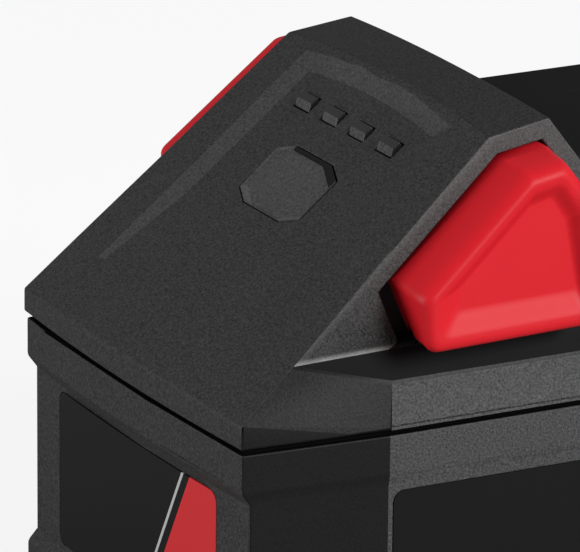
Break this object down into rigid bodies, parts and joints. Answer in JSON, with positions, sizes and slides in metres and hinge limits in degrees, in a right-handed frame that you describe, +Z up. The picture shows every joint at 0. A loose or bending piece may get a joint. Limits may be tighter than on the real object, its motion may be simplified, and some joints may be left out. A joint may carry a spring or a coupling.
{
  "type": "power tool battery pack",
  "caption": "Slide-on battery pack for cordless tools: sloped nose with charge gauge, side squeeze latches, rail tower with terminal slots, and a case filled with round cells.",
  "frame": {"origin": "centre of the flat base", "axes": "+X towards the right latch, +Y from the sloped nose to the rear, +Z up"},
  "size_m": [0.0938, 0.133, 0.094],
  "materials": {
    "case_upper": "fine moulded grain",
    "case_lower": "fine moulded grain",
    "latch_red": "satin moulded",
    "spring_wire": "bright drawn wire",
    "button_grey": "grained",
    "smoked_window": "smoked, polished",
    "board_green": "solder mask",
    "light_white": "clear diffuser",
    "switch_black": "moulded",
    "plunger_tan": "moulded",
    "screw_steel": "zinc plated",
    "cable_cream": "flat cable",
    "socket_cream": "moulded",
    "label_film": "printed film",
    "holder_ivory": "moulded",
    "cell_wrap": "shrink wrap over a can",
    "strap_nickel": "nickel strip",
    "insulator_sheet": "fish paper",
    "chip_black": "moulded package",
    "shunt_copper": "copper alloy",
    "capacitor_tan": "sintered body",
    "probe_brown": "resin bead",
    "block_black": "glass filled",
    "terminal_copper": "plated copper alloy"
  },
  "bodies": {
    "pack": {"lower_case": "case_lower", "top_case": "case_upper", "latch_spring_left": "spring_wire", "latch_spring_right": "spring_wire", "gauge_lens": "smoked_window", "gauge_board": "board_green", "gauge_lights": "light_white", "gauge_switch": "switch_black", "gauge_screws": "screw_steel", "gauge_cable": "cable_cream", "cable_sockets": "socket_cream", "front_label": "label_film", "side_label_left": "label_film", "side_label_right": "label_film", "case_screws": "screw_steel", "cell_holder_left": "holder_ivory", "cell_holder_right": "holder_ivory", "cell_1": "cell_wrap", "cell_2": "cell_wrap", "cell_3": "cell_wrap", "cell_4": "cell_wrap", "cell_5": "cell_wrap", "cell_6": "cell_wrap", "cell_7": "cell_wrap", "cell_8": "cell_wrap", "cell_9": "cell_wrap", "cell_10": "cell_wrap", "strap_right_front": "strap_nickel", "strap_right_middle": "strap_nickel", "strap_right_rear": "strap_nickel", "strap_left_front": "strap_nickel", "strap_left_middle": "strap_nickel", "strap_left_rear": "strap_nickel", "insulator_left": "insulator_sheet", "insulator_right": "insulator_sheet", "main_board": "board_green", "board_screws": "screw_steel", "power_transistors": "chip_black", "control_chip": "chip_black", "current_shunt": "shunt_copper", "capacitors": "capacitor_tan", "temperature_probe": "probe_brown", "terminal_block": "block_black", "terminal_positive": "terminal_copper", "terminal_negative": "terminal_copper", "signal_terminals": "terminal_copper"},
    "right_latch": {"latch_right": "latch_red"},
    "left_latch": {"latch_left": "latch_red"},
    "gauge_press": {"gauge_button": "button_grey", "switch_plunger": "plunger_tan"}
  },
  "joints": [
    {"name": "right_latch_slide", "type": "slide", "parent": "pack", "child": "right_latch", "axis": [-1, 0, 0], "range_m": [0, 0.0035], "stiffness_N_per_m": 1200, "deforming": ["latch_spring_right"]},
    {"name": "left_latch_slide", "type": "slide", "parent": "pack", "child": "left_latch", "axis": [1, 0, 0], "range_m": [0, 0.0035], "stiffness_N_per_m": 1200, "deforming": ["latch_spring_left"]},
    {"name": "gauge_button_press", "type": "slide", "parent": "pack", "child": "gauge_press", "axis": [0, 0.6481, -0.7615], "range_m": [0, 0.0006], "stiffness_N_per_m": 2500}
  ]
}
